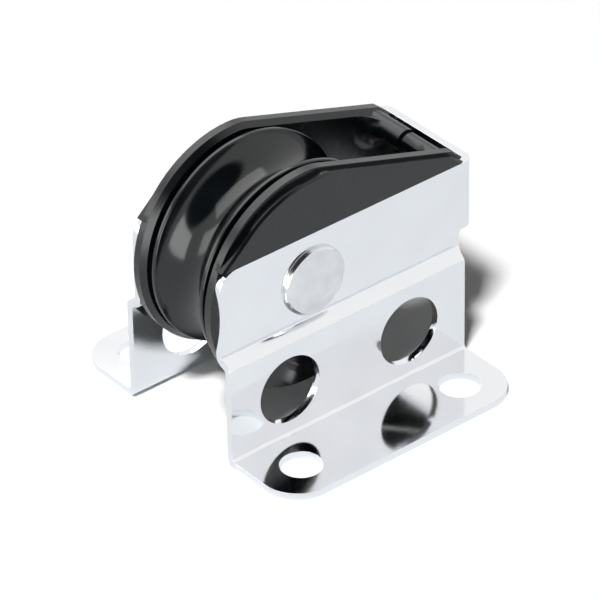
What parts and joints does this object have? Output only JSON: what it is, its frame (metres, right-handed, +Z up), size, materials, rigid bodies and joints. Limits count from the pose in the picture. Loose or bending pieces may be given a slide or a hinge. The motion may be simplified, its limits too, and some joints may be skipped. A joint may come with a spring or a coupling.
{
  "type": "stand-up block",
  "caption": "Small stand-up pulley block: a grooved black sheave on plastic balls between black cheeks, held upright in a folded stainless frame with screw-down feet.",
  "frame": {"origin": "centre of the four screw holes on the deck plane, the underside of the feet", "axes": "+X from the open front to the closed rear, +Y along the axle, +Z up from the deck"},
  "size_m": [0.0408, 0.0426, 0.0354],
  "materials": {
    "polished_stainless": "bright polished stainless sheet with rounded, tumbled edges",
    "rivet_stainless": "polished stainless rivet head with a faint formed dome",
    "sleeve_stainless": "plain drawn stainless tube",
    "cheek_black": "satin black moulded glass-filled nylon",
    "sheave_black": "glossy black acetal, turned",
    "white_acetal": "polished white acetal balls"
  },
  "bodies": {
    "root": {"frame": "polished_stainless", "cheek_near": "cheek_black", "cheek_far": "cheek_black", "axle_rivet": "rivet_stainless", "hub_sleeve": "sleeve_stainless"},
    "sheave": {"sheave": "sheave_black"},
    "balls_near": {"ball_near_01": "white_acetal", "ball_near_02": "white_acetal", "ball_near_03": "white_acetal", "ball_near_04": "white_acetal", "ball_near_05": "white_acetal", "ball_near_06": "white_acetal", "ball_near_07": "white_acetal", "ball_near_08": "white_acetal", "ball_near_09": "white_acetal", "ball_near_10": "white_acetal", "ball_near_11": "white_acetal", "ball_near_12": "white_acetal", "ball_near_13": "white_acetal"},
    "balls_far": {"ball_far_01": "white_acetal", "ball_far_02": "white_acetal", "ball_far_03": "white_acetal", "ball_far_04": "white_acetal", "ball_far_05": "white_acetal", "ball_far_06": "white_acetal", "ball_far_07": "white_acetal", "ball_far_08": "white_acetal", "ball_far_09": "white_acetal", "ball_far_10": "white_acetal", "ball_far_11": "white_acetal", "ball_far_12": "white_acetal", "ball_far_13": "white_acetal"}
  },
  "joints": [
    {"name": "sheave_spin", "type": "hinge", "parent": "root", "child": "sheave", "pos_m": [-0.0043, 0, 0.0204], "axis": [0, 1, 0], "continuous": true},
    {"name": "balls_near_roll", "type": "hinge", "parent": "root", "child": "balls_near", "pos_m": [-0.0043, 0, 0.0204], "axis": [0, 1, 0], "continuous": true},
    {"name": "balls_far_roll", "type": "hinge", "parent": "root", "child": "balls_far", "pos_m": [-0.0043, 0, 0.0204], "axis": [0, 1, 0], "continuous": true}
  ],
  "couplings": [
    {"joint": "balls_near_roll", "follows": "sheave_spin", "ratio": 0.6134},
    {"joint": "balls_far_roll", "follows": "sheave_spin", "ratio": 0.6134}
  ]
}
